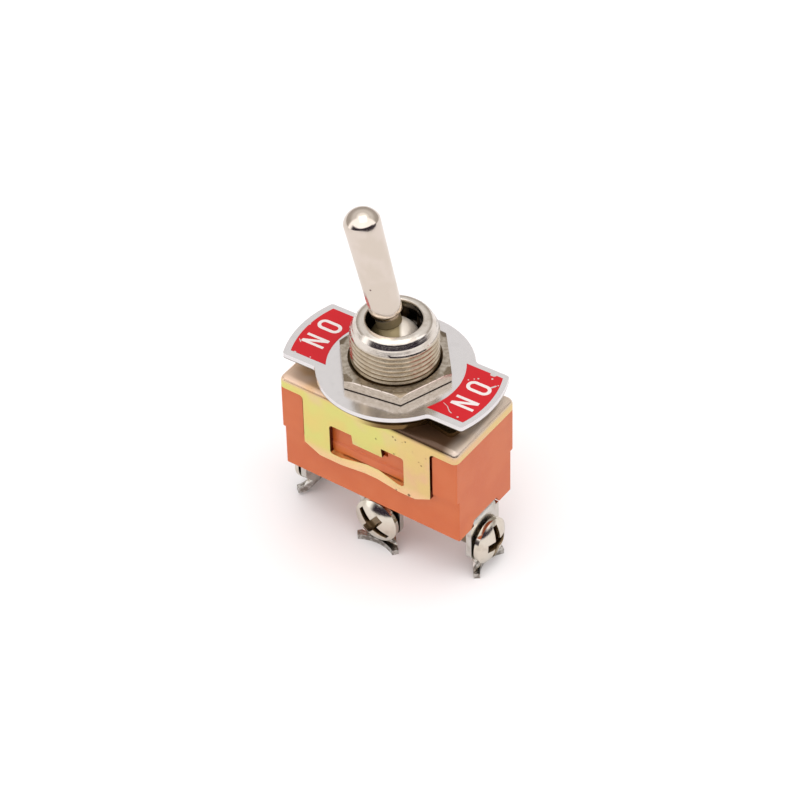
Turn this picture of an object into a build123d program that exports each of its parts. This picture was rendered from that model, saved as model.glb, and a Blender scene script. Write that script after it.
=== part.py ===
from build123d import *
import os
from math import asin, cos, degrees, radians, sin, sqrt, tan

# A panel toggle switch: one pole, two throws, clamping screws on its three terminals.
# Millimetres. The origin is on the bushing's axis, on the top face of the mounting bracket.
# +X runs towards the right-hand terminal, the centre terminal's screw faces -Y, +Z is up.
# The switch is drawn as it rests: the lever is thrown to -X, so the contact at +X is closed.

# General fits
SLIP = 0.05  # between parts that are held against each other
RUNNING = 0.04  # radial play of a pin or shaft in its hole
SEAT_GAP = 0.1  # between a fixed part and the pocket that takes it

# Mounting bracket, one folded steel sheet
SHEET = 0.7
BRACKET_LENGTH = 28.8
BRACKET_WIDTH = 13.9
LIP_DEPTH = 1.9
FOLD_RADIUS = 1.0
PLAN_CORNER = 0.8
FLAP_WIDTH = 20.6
FLAP_SHIFT = -0.15  # middle of the flap, seen from its own side
FLAP_DEPTH = 11.3
FLAP_CORNER_RUN = 2.5
FLAP_CORNER_RISE = 1.25
FLAP_ROOT_RADIUS = 0.6
WINDOW_WIDTH = 12.1
WINDOW_TOP = 4.95
WINDOW_BOTTOM = 10.0
WINDOW_CORNER = 0.5
TONGUE_WIDTH = 4.8
TONGUE_LENGTH = 1.75
TONGUE_PUSH = 0.25
CRIMP_SPAN = 9.4
CRIMP_FLAT = 2.0
CRIMP_SHIFT = 0.4  # middle of the crimp from the middle of the flap
CRIMP_PUSH = 0.85  # at the window
CRIMP_EDGE_PUSH = 0.45  # at the bottom edge of the flap

# Moulded case
CASE_LENGTH = 28.56
CASE_WIDTH = 13.42
CASE_STEP_DEPTH = 9.13
CASE_LOWER_WIDTH = 12.4
CASE_BOTTOM = 16.2
CASE_CORNER = 0.2
WINDOW_RECESS = 0.2
WINDOW_RIDGE_DEPTH = 8.5
CAVITY_LENGTH = 24.4
CAVITY_WIDTH = 9.2
CAVITY_FLOOR = 13.2
GROOVE_HEIGHT = 1.15
GROOVE_TOP_WIDTH = 5.3
GROOVE_BOTTOM_WIDTH = 6.7

# Insulating sheet and bushing flange, both under the bracket
INSULATOR = 0.4
FLANGE = 0.5
FLANGE_LENGTH = 17.0

# Bushing, M12
BUSHING_RADIUS = 6.0
BUSHING_TOP = 12.0
THREAD_TOP = 10.0
RIM_WIDTH = 1.26  # level top, before its edges are rounded
RIM_ROUNDING = 1.2
BORE_RADIUS = 3.72
BORE_LIP = 0.35

# What is stacked on the bushing
RING = 0.7
RING_RADIUS = 8.6
EAR_WIDTH = 4.8
EAR_REACH = 12.6
EAR_CORNER = 0.7
EAR_ANGLE = -10.0
NUT_ACROSS_FLATS = 14.25
NUT = 1.64
NUT_CHAMFER = 0.3
NUT_BROKEN_EDGE = 0.12  # under the flats
UPPER_NUT_ANGLE = 9.77
LOWER_NUT_ANGLE = -13.0
WASHER_RADIUS = 8.3
WASHER_TEETH = 16
TOOTH_SLOT_WIDTH = 0.9
TOOTH_SLOT_DEPTH = 1.1
PLATE = 0.75
PLATE_BOTTOM = 3.03
PLATE_RADIUS = 10.7
PLATE_HOLE_RADIUS = 6.1
TAB_REACH = 15.26
TAB_WIDTH = 11.9
TAB_CORNER = 0.5
TAB_ROOT_RADIUS = 0.9
PLATE_TURN = 1.89

# Lever, turned about a cross pin in the bushing
PIVOT_HEIGHT = 7.7
THROW = 14.6  # to each side of upright, degrees
BALL_RADIUS = 3.6
NECK_RADIUS = 1.75
SHOULDER_HEIGHT = 4.8
SHOULDER_RADIUS = 0.35
LEVER_BASE_RADIUS = 2.2
LEVER_TIP_RADIUS = 2.5
CAP_HEIGHT = 1.8
LEVER_REACH = 20.9
SHANK_RADIUS = 2.3
SHANK_REACH = 12.2
PIN_RADIUS = 0.8
PIN_LENGTH = 9.3
LEVER_BORE_RADIUS = 1.5
LEVER_BORE_END = 3.9

# Plunger and spring inside the lever
PLUNGER_SHOULDER = 8.6
SPIGOT_RADIUS = 0.65
SPIGOT_LENGTH = 1.6
SPRING_WIRE_RADIUS = 0.2
SPRING_RADIUS = 1.1
SPRING_TURNS = 6
NOSE_GAP = 0.12

# Rocker, a brass strip that tips on the fulcrum
ROCKER_TILT = 6.0  # to each side of level, degrees
ROCKER_RISE = 1.3  # tipping axis above the cavity's floor
ROCKER_STRIP = 0.85
ROCKER_WIDTH = 4.6
ROCKER_REACH = 10.6
SADDLE_FLOOR = 1.15  # saddle's lowest top face above the tipping axis
SADDLE_MARGIN = 0.3
SADDLE_SLOPE_RUN = 1.5
ARM_RISE = 1.35  # middle of the arms above the tipping axis
FULCRUM_RADIUS = 0.6
FULCRUM_LENGTH = 4.4
FULCRUM_BASE = 3.4
FULCRUM_BASE_HEIGHT = 0.5

# Contacts, all rivets
CONTACT_INSET = 1.4  # axes in from the ends of the rocker
CONTACT_RADIUS = 1.5
MOVING_HEAD = 0.6
DOME_RISE = 0.4
FIXED_RADIUS = 1.9
CONTACT_GAP = 0.05
RIVET_RADIUS = 0.9
ARM_RIVET_RADIUS = 0.6
PEEN_RADIUS = 1.5
PEEN = 0.3

# Terminals, all three bent from one width of strip, and their screws
STRIP = 0.85
BEND_RADIUS = 0.85  # at the middle of the strip
END_FACE = 14.2  # outer faces of the end terminals from the axis
CENTRE_FACE = 4.5  # outer face of the centre terminal from the axis
LEG_BEYOND_RIVET = 2.2
LEG_WIDTH = 5.2
PLATE_EYE_WIDTH = 6.6
SHOULDER_TOP = 16.3
SHOULDER_ROUNDING = 0.65
EYE_BOTTOM = 21.7
EYE_ROUNDING = 1.2
WAIST_WIDTH = 3.7
WAIST_DEPTH = 23.3
PRONG_SPREAD = 6.9
PRONG_DEPTH = 24.4
PRONG_OPENING = 5.8  # between the tips of the prongs
PRONG_SETBACK = 0.7  # outer corners of the prongs behind their tips
FOOT_DEPTH = 25.2
FOOT_REACHES = {"left": 1.2, "centre": 1.4, "right": 1.15}  # tips beyond the outer face
FOOT_HOLLOWS = {"left": 0.7, "centre": 0.8, "right": 1.1}
PLATE_LIFTS = {"left": 0.45, "centre": 0.0, "right": 0.0}  # the left one is bent a little short
SCREW_DEPTH = 20.5
SCREW_RADIUS = 1.75
SCREW_REACH = 3.2  # shank beyond the inner face of its terminal
HEAD_GAP = 0.4
HEAD_RADIUS = 3.35
HEAD_EDGE = 0.6
HEAD_DOME = 1.15
RECESS_SLOT = 5.7
RECESS_SLOT_WIDTH = 1.1
RECESS_CROSS = 3.9
RECESS_CROSS_WIDTH = 1.35
RECESS_DEPTH = 1.25
RECESS_TAPER = 9.0
SCREW_TURNS = {"left": 25.0, "centre": -38.0, "right": 84.0}

# Worked out from the sizes above
FLANGE_TOP = -SHEET - SLIP
INSULATOR_TOP = FLANGE_TOP - FLANGE - SLIP
RIM_TOP = INSULATOR_TOP - INSULATOR - SLIP
SHOULDER = -LIP_DEPTH - SLIP
FLAP_FACE = BRACKET_WIDTH / 2 - SHEET
FLAP_SEAT = FLAP_WIDTH + 5 * SEAT_GAP
LEG_TOP = -CASE_BOTTOM + GROOVE_HEIGHT - SLIP
LEG_BOTTOM = LEG_TOP - STRIP
TIPPING_AXIS = -CAVITY_FLOOR + ROCKER_RISE
CONTACT_X = ROCKER_REACH - CONTACT_INSET
NUT_BOTTOM = PLATE_BOTTOM + PLATE
LOWER_NUT_BOTTOM = RING
WASHER_BOTTOM = LOWER_NUT_BOTTOM + NUT
WASHER = PLATE_BOTTOM - WASHER_BOTTOM
throw = radians(THROW)
tilt = radians(ROCKER_TILT)

# The nose of the plunger runs on the saddle with the same gap upright and at full throw
NOSE_RADIUS = LEVER_BORE_RADIUS - RUNNING
NOSE_REACH = PIVOT_HEIGHT - TIPPING_AXIS - SADDLE_FLOOR - NOSE_GAP - NOSE_RADIUS
nose_across = NOSE_REACH * sin(throw)
nose_up = PIVOT_HEIGHT - NOSE_REACH * cos(throw) - TIPPING_AXIS
nose_along = nose_across * cos(tilt) - nose_up * sin(tilt)
nose_above = nose_across * sin(tilt) + nose_up * cos(tilt) - SADDLE_FLOOR
nose_stand = NOSE_GAP + NOSE_RADIUS
SADDLE_RADIUS = (nose_along**2 + nose_above**2 - nose_stand**2) / (2 * (nose_above - nose_stand))
SADDLE_HALF_SPAN = nose_along + NOSE_RADIUS + SADDLE_MARGIN

# The dome of a moving contact, and how low it comes when its arm is down
DOME_RADIUS = (CONTACT_RADIUS**2 + DOME_RISE**2) / (2 * DOME_RISE)
ARM_BOTTOM = ARM_RISE - ROCKER_STRIP / 2
DOME_CENTRE = ARM_BOTTOM - MOVING_HEAD + DOME_RADIUS
CLOSED_HEIGHT = TIPPING_AXIS - CONTACT_X * sin(tilt) + DOME_CENTRE * cos(tilt) - DOME_RADIUS
FIXED_TOP = CLOSED_HEIGHT - CONTACT_GAP

# Planes that follow the lever and the rocker at rest: local y along the lever, local y up the rocker
lever_axis = Axis((0, 0, PIVOT_HEIGHT), (-sin(throw), 0, cos(throw)))
lever_side = Plane((0, 0, PIVOT_HEIGHT), x_dir=(cos(throw), 0, sin(throw)), z_dir=(0, -1, 0))
rocker_side = Plane((0, 0, TIPPING_AXIS), x_dir=(cos(tilt), 0, -sin(tilt)), z_dir=(0, -1, 0))

# Where each terminal stands, with its screw facing its own +X
SEATS = {
    "left": Location((-END_FACE, 0, 0), (0, 0, 180)),
    "centre": Location((0, -CENTRE_FACE, 0), (0, 0, -90)),
    "right": Location((END_FACE, 0, 0), (0, 0, 0)),
}
RIVET_RUNS = {
    "left": END_FACE - CONTACT_X,
    "centre": CENTRE_FACE,
    "right": END_FACE - CONTACT_X,
}


def save(part, name):
    part.label = name
    export_step(part, f"parts/{name}.step")


os.makedirs("parts", exist_ok=True)

# ---------------------------------------------------------------- mounting bracket
with BuildPart() as bracket_inside:
    with BuildSketch(Plane.XY.offset(-SHEET)):
        RectangleRounded(BRACKET_LENGTH - 2 * SHEET, BRACKET_WIDTH - 2 * SHEET, PLAN_CORNER - SHEET)
    extrude(amount=-LIP_DEPTH)
    fillet(bracket_inside.faces().sort_by(Axis.Z)[-1].edges(), FOLD_RADIUS - SHEET)

with BuildPart() as mounting_bracket:
    with BuildSketch():
        RectangleRounded(BRACKET_LENGTH, BRACKET_WIDTH, PLAN_CORNER)
    extrude(amount=-LIP_DEPTH)
    fillet(mounting_bracket.faces().sort_by(Axis.Z)[-1].edges(), FOLD_RADIUS)
    add(bracket_inside.part, mode=Mode.SUBTRACT)
    Hole(BUSHING_RADIUS + SEAT_GAP)
    for side in (-1, 1):
        flap_plane = Plane(
            (-side * FLAP_SHIFT, side * BRACKET_WIDTH / 2, 0),
            x_dir=(-side, 0, 0),
            z_dir=(0, side, 0),
        )
        with BuildSketch(flap_plane) as flap:
            with BuildLine():
                Polyline(
                    (0, -FOLD_RADIUS),
                    (FLAP_WIDTH / 2 + 2 * FLAP_ROOT_RADIUS, -FOLD_RADIUS),
                    (FLAP_WIDTH / 2 + 2 * FLAP_ROOT_RADIUS, -LIP_DEPTH),
                    (FLAP_WIDTH / 2, -LIP_DEPTH),
                    (FLAP_WIDTH / 2, -FLAP_DEPTH + FLAP_CORNER_RISE),
                    (FLAP_WIDTH / 2 - FLAP_CORNER_RUN, -FLAP_DEPTH),
                    (0, -FLAP_DEPTH),
                )
                mirror(about=Plane.YZ)
            make_face()
            roots = flap.vertices().filter_by(lambda v: abs(abs(v.X) - FLAP_WIDTH / 2) < 0.01)
            fillet(roots.filter_by(lambda v: v.Y > -LIP_DEPTH - 0.01), FLAP_ROOT_RADIUS)
            with Locations((0, -(WINDOW_TOP + WINDOW_BOTTOM) / 2)):
                RectangleRounded(
                    WINDOW_WIDTH, WINDOW_BOTTOM - WINDOW_TOP, WINDOW_CORNER, mode=Mode.SUBTRACT
                )
            with Locations((CRIMP_SHIFT, -(WINDOW_BOTTOM + FLAP_DEPTH) / 2)):
                Rectangle(CRIMP_SPAN, FLAP_DEPTH - WINDOW_BOTTOM, mode=Mode.SUBTRACT)
            # Tongue at the top of the window
            with Locations((0, -WINDOW_TOP)):
                Rectangle(
                    TONGUE_WIDTH, SHEET, align=(Align.CENTER, Align.MAX), mode=Mode.SUBTRACT
                )
        extrude(amount=-SHEET)
        with BuildSketch(flap_plane * Plane.YZ.offset(-TONGUE_WIDTH / 2)):
            with BuildLine():
                Polyline(
                    (-WINDOW_TOP, 0),
                    (-WINDOW_TOP - TONGUE_LENGTH, -TONGUE_PUSH),
                    (-WINDOW_TOP - TONGUE_LENGTH, -TONGUE_PUSH - SHEET),
                    (-WINDOW_TOP, -SHEET),
                    close=True,
                )
            make_face()
        extrude(amount=TONGUE_WIDTH)
        # Bar under the window, pressed into the case at its middle
        for depth, push in ((WINDOW_BOTTOM, CRIMP_PUSH), (FLAP_DEPTH, CRIMP_EDGE_PUSH)):
            with BuildSketch(flap_plane * Plane.XZ.offset(depth)):
                with BuildLine():
                    FilletPolyline(
                        (CRIMP_SHIFT - CRIMP_SPAN / 2 - SHEET, -SHEET / 2),
                        (CRIMP_SHIFT - CRIMP_SPAN / 2, -SHEET / 2),
                        (CRIMP_SHIFT - CRIMP_FLAT / 2, -SHEET / 2 - push),
                        (CRIMP_SHIFT + CRIMP_FLAT / 2, -SHEET / 2 - push),
                        (CRIMP_SHIFT + CRIMP_SPAN / 2, -SHEET / 2),
                        (CRIMP_SHIFT + CRIMP_SPAN / 2 + SHEET, -SHEET / 2),
                        radius=CRIMP_FLAT,
                    )
                trace(line_width=SHEET)
        loft()
save(mounting_bracket.part, "mounting_bracket")

# ---------------------------------------------------------------- moulded case
crimp_floor = FLAP_FACE - CASE_WIDTH / 2 - CRIMP_PUSH - SEAT_GAP
with BuildPart() as housing:
    with BuildSketch(Plane.XY.offset(-CASE_BOTTOM)):
        Rectangle(CASE_LENGTH, CASE_LOWER_WIDTH)
    extrude(amount=CASE_BOTTOM - CASE_STEP_DEPTH)
    with BuildSketch(Plane.XY.offset(-CASE_STEP_DEPTH)):
        Rectangle(CASE_LENGTH, CASE_WIDTH)
    extrude(amount=CASE_STEP_DEPTH + SHOULDER)
    fillet(housing.edges().filter_by(Axis.Z), CASE_CORNER)
    # Rim that stands up inside the bracket
    with BuildSketch(Plane.XY.offset(SHOULDER)):
        RectangleRounded(
            BRACKET_LENGTH - 2 * (SHEET + SEAT_GAP),
            BRACKET_WIDTH - 2 * (SHEET + SEAT_GAP),
            PLAN_CORNER - SHEET,
        )
    extrude(amount=RIM_TOP - SHOULDER)
    with BuildSketch(Plane.XY.offset(-CAVITY_FLOOR)):
        Rectangle(CAVITY_LENGTH, CAVITY_WIDTH)
    extrude(amount=CAVITY_FLOOR, mode=Mode.SUBTRACT)
    for side in (-1, 1):
        wall_plane = Plane(
            (-side * FLAP_SHIFT, side * CASE_WIDTH / 2, 0), x_dir=(-side, 0, 0), z_dir=(0, side, 0)
        )
        # Seat of the bracket's flap
        with BuildSketch(wall_plane):
            with BuildLine():
                Polyline(
                    (0, SHOULDER),
                    (FLAP_SEAT / 2 + FLAP_ROOT_RADIUS, SHOULDER),
                    (FLAP_SEAT / 2, SHOULDER - FLAP_ROOT_RADIUS),
                    (FLAP_SEAT / 2, -CASE_STEP_DEPTH - SEAT_GAP),
                    (0, -CASE_STEP_DEPTH - SEAT_GAP),
                )
                mirror(about=Plane.YZ)
            make_face()
        extrude(amount=-(CASE_WIDTH / 2 - FLAP_FACE + SLIP), mode=Mode.SUBTRACT)
        # Shallow recess behind the window, with a sloping ledge
        with BuildSketch(Plane.YZ.offset(-WINDOW_WIDTH / 2 - 1)):
            with BuildLine():
                Polyline(
                    (side * CASE_WIDTH / 2, -WINDOW_TOP + 1),
                    (side * (CASE_LOWER_WIDTH / 2 - WINDOW_RECESS), -WINDOW_TOP + 1),
                    (side * (CASE_LOWER_WIDTH / 2 - WINDOW_RECESS), -WINDOW_RIDGE_DEPTH + WINDOW_RECESS),
                    (side * CASE_LOWER_WIDTH / 2, -WINDOW_RIDGE_DEPTH),
                    (side * CASE_WIDTH / 2, -WINDOW_RIDGE_DEPTH),
                    close=True,
                )
            make_face()
        extrude(amount=WINDOW_WIDTH + 2, mode=Mode.SUBTRACT)
        # Pocket behind the tongue
        with BuildSketch(wall_plane):
            with Locations((2 * SEAT_GAP, -WINDOW_TOP - TONGUE_LENGTH / 2)):
                Rectangle(TONGUE_WIDTH + 6 * SEAT_GAP, TONGUE_LENGTH + 4 * SEAT_GAP)
        extrude(amount=-(CASE_WIDTH / 2 - FLAP_FACE + TONGUE_PUSH + 4 * SEAT_GAP), mode=Mode.SUBTRACT)
        # Pocket that takes the crimped bar
        with BuildSketch(wall_plane * Plane.XZ.offset(WINDOW_BOTTOM - 2 * SEAT_GAP)):
            with BuildLine():
                Polyline(
                    (CRIMP_SHIFT - CRIMP_SPAN / 2 - SHEET, 0),
                    (CRIMP_SHIFT - CRIMP_SPAN / 2 - SEAT_GAP, FLAP_FACE - CASE_WIDTH / 2 - SEAT_GAP),
                    (CRIMP_SHIFT - CRIMP_FLAT / 2 - SEAT_GAP, crimp_floor),
                    (CRIMP_SHIFT + CRIMP_FLAT / 2 + SEAT_GAP, crimp_floor),
                    (CRIMP_SHIFT + CRIMP_SPAN / 2 + SEAT_GAP, FLAP_FACE - CASE_WIDTH / 2 - SEAT_GAP),
                    (CRIMP_SHIFT + CRIMP_SPAN / 2 + SHEET, 0),
                    close=True,
                )
            make_face()
        extrude(amount=FLAP_DEPTH - WINDOW_BOTTOM + 3 * SEAT_GAP, mode=Mode.SUBTRACT)
    # Grooves for the legs of the terminals, open at the bottom, and their rivet holes
    for name, seat in SEATS.items():
        run = RIVET_RUNS[name]
        end_face = Plane(seat * Plane.YZ.location)
        with BuildSketch(end_face.offset(-run - LEG_BEYOND_RIVET - SEAT_GAP)):
            with BuildLine():
                Polyline(
                    (-GROOVE_BOTTOM_WIDTH / 2, -CASE_BOTTOM),
                    (-GROOVE_TOP_WIDTH / 2, -CASE_BOTTOM + GROOVE_HEIGHT),
                    (GROOVE_TOP_WIDTH / 2, -CASE_BOTTOM + GROOVE_HEIGHT),
                    (GROOVE_BOTTOM_WIDTH / 2, -CASE_BOTTOM),
                    close=True,
                )
            make_face()
        extrude(amount=run + LEG_BEYOND_RIVET + 3 * SEAT_GAP, mode=Mode.SUBTRACT)
        with Locations(seat * Location((-run, 0, -CASE_BOTTOM))):
            Cylinder(
                RIVET_RADIUS + RUNNING,
                CASE_BOTTOM - CAVITY_FLOOR,
                align=(Align.CENTER, Align.CENTER, Align.MIN),
                mode=Mode.SUBTRACT,
            )
save(housing.part, "housing")

# ---------------------------------------------------------------- insulating sheet
swing_below = (PIVOT_HEIGHT - INSULATOR_TOP + INSULATOR) * tan(throw) + SHANK_RADIUS / cos(throw)
with BuildPart() as insulator:
    with BuildSketch(Plane.XY.offset(INSULATOR_TOP)):
        RectangleRounded(
            BRACKET_LENGTH - 2 * (SHEET + SEAT_GAP),
            BRACKET_WIDTH - 2 * (SHEET + SEAT_GAP),
            PLAN_CORNER - SHEET,
        )
        Circle(swing_below + 2 * SEAT_GAP, mode=Mode.SUBTRACT)
    extrude(amount=-INSULATOR)
save(insulator.part, "insulator")

# ---------------------------------------------------------------- bushing
mouth_below = (PIVOT_HEIGHT - FLANGE_TOP + FLANGE) * tan(throw) + SHANK_RADIUS / cos(throw)
with BuildPart() as bushing:
    with BuildSketch(Plane.XZ) as bushing_section:
        with BuildLine():
            Polyline(
                (mouth_below + SEAT_GAP, FLANGE_TOP - FLANGE),
                (BORE_RADIUS, PIVOT_HEIGHT - BALL_RADIUS),
                (BORE_RADIUS, BUSHING_TOP),
                (BORE_RADIUS + RIM_WIDTH, BUSHING_TOP),
                (BUSHING_RADIUS, THREAD_TOP),
                (BUSHING_RADIUS, FLANGE_TOP - FLANGE),
                close=True,
            )
        make_face()
        fillet(bushing_section.vertices().group_by(Axis.Y)[-1].sort_by(Axis.X)[0], BORE_LIP)
        fillet(bushing_section.vertices().group_by(Axis.Y)[-1].sort_by(Axis.X)[-1], RIM_ROUNDING)
    revolve(axis=Axis.Z)
    # Flange that the bracket holds down on the case
    with BuildSketch(Plane.XY.offset(FLANGE_TOP)):
        RectangleRounded(FLANGE_LENGTH, BRACKET_WIDTH - 2 * FOLD_RADIUS, PLAN_CORNER)
        Circle(BUSHING_RADIUS - SEAT_GAP, mode=Mode.SUBTRACT)
    extrude(amount=-FLANGE)
    # Slots that the ends of the cross pin slide up into
    with BuildSketch(Plane.XZ):
        with Locations((0, PIVOT_HEIGHT)):
            Circle(PIN_RADIUS + RUNNING)
        with Locations((0, PIVOT_HEIGHT)):
            Rectangle(
                2 * (PIN_RADIUS + RUNNING),
                PIVOT_HEIGHT + BUSHING_TOP,
                align=(Align.CENTER, Align.MAX),
            )
    extrude(amount=PIN_LENGTH / 2 + SEAT_GAP, both=True, mode=Mode.SUBTRACT)
save(bushing.part, "bushing")

with BuildPart() as pivot_pin:
    with BuildSketch(Plane.XZ):
        with Locations((0, PIVOT_HEIGHT)):
            Circle(PIN_RADIUS)
    extrude(amount=PIN_LENGTH / 2, both=True)
save(pivot_pin.part, "pivot_pin")

# ---------------------------------------------------------------- stack on the bushing
with BuildPart() as locating_ring:
    with BuildSketch() as ring_outline:
        Circle(RING_RADIUS)
        with BuildLine():
            Polyline(
                (0, -EAR_WIDTH / 2),
                (EAR_REACH, -EAR_WIDTH / 2),
                (EAR_REACH, EAR_WIDTH / 2),
                (0, EAR_WIDTH / 2),
                close=True,
            )
        make_face()
        fillet(ring_outline.vertices().group_by(Axis.X)[-1], EAR_CORNER)
        Circle(BUSHING_RADIUS + SEAT_GAP, mode=Mode.SUBTRACT)
    extrude(amount=RING)
save(locating_ring.part.rotate(Axis.Z, EAR_ANGLE), "locating_ring")

for name, bottom, turn in (
    ("lower_nut", LOWER_NUT_BOTTOM, LOWER_NUT_ANGLE),
    ("upper_nut", NUT_BOTTOM, UPPER_NUT_ANGLE),
):
    with BuildPart() as nut:
        with BuildSketch(Plane.XY.offset(bottom)):
            RegularPolygon(NUT_ACROSS_FLATS / 2, 6, major_radius=False, rotation=turn)
        extrude(amount=NUT)
        chamfer(nut.faces().sort_by(Axis.Z)[0].edges(), NUT_BROKEN_EDGE)
        corner = NUT_ACROSS_FLATS / 2 / cos(radians(30))
        with BuildSketch(Plane.XZ):
            with BuildLine():
                Polyline(
                    (BUSHING_RADIUS + RUNNING, bottom),
                    (corner, bottom),
                    (corner, bottom + NUT - NUT_CHAMFER),
                    (corner - 2 * NUT_CHAMFER, bottom + NUT),
                    (BUSHING_RADIUS + RUNNING + NUT_CHAMFER, bottom + NUT),
                    (BUSHING_RADIUS + RUNNING, bottom + NUT - NUT_CHAMFER),
                    close=True,
                )
            make_face()
        revolve(axis=Axis.Z, mode=Mode.INTERSECT)
    save(nut.part, name)

with BuildPart() as lock_washer:
    with BuildSketch(Plane.XY.offset(WASHER_BOTTOM)):
        Circle(WASHER_RADIUS)
        Circle(BUSHING_RADIUS + 2 * SEAT_GAP, mode=Mode.SUBTRACT)
        with PolarLocations(WASHER_RADIUS - TOOTH_SLOT_DEPTH / 2, WASHER_TEETH):
            Rectangle(TOOTH_SLOT_DEPTH, TOOTH_SLOT_WIDTH, mode=Mode.SUBTRACT)
    extrude(amount=WASHER)
save(lock_washer.part, "lock_washer")

with BuildPart() as indicator_plate:
    with BuildSketch(Plane.XY.offset(PLATE_BOTTOM)) as plate_outline:
        Circle(TAB_REACH)
        Rectangle(2 * TAB_REACH, TAB_WIDTH, mode=Mode.INTERSECT)
        fillet(plate_outline.vertices(), TAB_CORNER)
        Circle(PLATE_RADIUS)
        roots = plate_outline.vertices().filter_by(lambda v: abs(abs(v.Y) - TAB_WIDTH / 2) < 0.01)
        fillet(roots.filter_by(lambda v: abs(v.X) < PLATE_RADIUS), TAB_ROOT_RADIUS)
        Circle(PLATE_HOLE_RADIUS, mode=Mode.SUBTRACT)
    extrude(amount=PLATE)
save(indicator_plate.part.rotate(Axis.Z, PLATE_TURN), "indicator_plate")

# ---------------------------------------------------------------- lever
cap_radius = (LEVER_TIP_RADIUS**2 + CAP_HEIGHT**2) / (2 * CAP_HEIGHT)
with BuildPart() as lever:
    with BuildSketch(lever_side) as bat:
        with BuildLine():
            Line((0, LEVER_REACH), (0, -SHANK_REACH))
            Polyline(
                (0, -SHANK_REACH),
                (SHANK_RADIUS, -SHANK_REACH),
                (SHANK_RADIUS, 0),
                (NECK_RADIUS, 0),
                (NECK_RADIUS, SHOULDER_HEIGHT),
                (LEVER_BASE_RADIUS, SHOULDER_HEIGHT),
                (LEVER_TIP_RADIUS, LEVER_REACH - CAP_HEIGHT),
            )
            RadiusArc((LEVER_TIP_RADIUS, LEVER_REACH - CAP_HEIGHT), (0, LEVER_REACH), -cap_radius)
        make_face()
        shoulder = bat.vertices().sort_by_distance((LEVER_BASE_RADIUS, SHOULDER_HEIGHT))[0]
        fillet(shoulder, SHOULDER_RADIUS)
    revolve(axis=lever_axis)
    with Locations((0, 0, PIVOT_HEIGHT)):
        Sphere(BALL_RADIUS)
    with BuildSketch(lever_side):
        with BuildLine():
            Polyline(
                (0, -SHANK_REACH),
                (LEVER_BORE_RADIUS, -SHANK_REACH),
                (LEVER_BORE_RADIUS, -LEVER_BORE_END),
                (0, -LEVER_BORE_END + LEVER_BORE_RADIUS / 2),
                close=True,
            )
        make_face()
    revolve(axis=lever_axis, mode=Mode.SUBTRACT)
    with BuildSketch(Plane.XZ):
        with Locations((0, PIVOT_HEIGHT)):
            Circle(PIN_RADIUS + RUNNING)
    extrude(amount=BALL_RADIUS, both=True, mode=Mode.SUBTRACT)
save(lever.part, "lever")

# ---------------------------------------------------------------- plunger and its spring
with BuildPart() as plunger:
    with BuildSketch(lever_side) as plunger_section:
        with BuildLine():
            Line((0, -NOSE_REACH - NOSE_RADIUS), (0, -PLUNGER_SHOULDER + SPIGOT_LENGTH))
            Polyline(
                (0, -PLUNGER_SHOULDER + SPIGOT_LENGTH),
                (SPIGOT_RADIUS, -PLUNGER_SHOULDER + SPIGOT_LENGTH),
                (SPIGOT_RADIUS, -PLUNGER_SHOULDER),
                (NOSE_RADIUS, -PLUNGER_SHOULDER),
                (NOSE_RADIUS, -NOSE_REACH),
            )
            RadiusArc((NOSE_RADIUS, -NOSE_REACH), (0, -NOSE_REACH - NOSE_RADIUS), NOSE_RADIUS)
        make_face()
    revolve(axis=lever_axis)
save(plunger.part, "plunger")

spring_length = PLUNGER_SHOULDER - LEVER_BORE_END - 2 * SPRING_WIRE_RADIUS - 2 * SLIP
spring_base = lever_axis.position - lever_axis.direction * (
    PLUNGER_SHOULDER - SPRING_WIRE_RADIUS - SLIP
)
coil = Helix(
    pitch=spring_length / SPRING_TURNS,
    height=spring_length,
    radius=SPRING_RADIUS,
    center=spring_base,
    direction=lever_axis.direction,
)
with BuildPart() as plunger_spring:
    # An eight-sided wire keeps the coil's facets few
    with BuildSketch(Plane(coil @ 0, z_dir=coil % 0)):
        RegularPolygon(SPRING_WIRE_RADIUS, side_count=8)
    sweep(path=coil, is_frenet=True)
save(plunger_spring.part, "plunger_spring")

# ---------------------------------------------------------------- rocker and moving contacts
saddle_line = SADDLE_RADIUS + ROCKER_STRIP / 2
saddle_half_angle = asin(SADDLE_HALF_SPAN / saddle_line)
saddle_middle = SADDLE_FLOOR - ROCKER_STRIP / 2
saddle_end = saddle_middle + saddle_line * (1 - cos(saddle_half_angle))
with BuildPart() as rocker:
    with BuildSketch(rocker_side) as rocker_section:
        with BuildLine():
            ThreePointArc(
                (-SADDLE_HALF_SPAN, saddle_end), (0, saddle_middle), (SADDLE_HALF_SPAN, saddle_end)
            )
            for side in (-1, 1):
                Polyline(
                    (side * SADDLE_HALF_SPAN, saddle_end),
                    (side * (SADDLE_HALF_SPAN + SADDLE_SLOPE_RUN), ARM_RISE),
                    (side * ROCKER_REACH, ARM_RISE),
                )
        trace(line_width=ROCKER_STRIP)
        Circle(FULCRUM_RADIUS + RUNNING, mode=Mode.SUBTRACT)
    extrude(amount=ROCKER_WIDTH / 2, both=True)
    for side in (-1, 1):
        arm = rocker_side.location * Location((side * CONTACT_X, ARM_RISE, 0), (90, 0, 0))
        with Locations(arm):
            Cylinder(ARM_RIVET_RADIUS + RUNNING, 2 * ROCKER_STRIP, mode=Mode.SUBTRACT)
save(rocker.part, "rocker")

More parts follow.
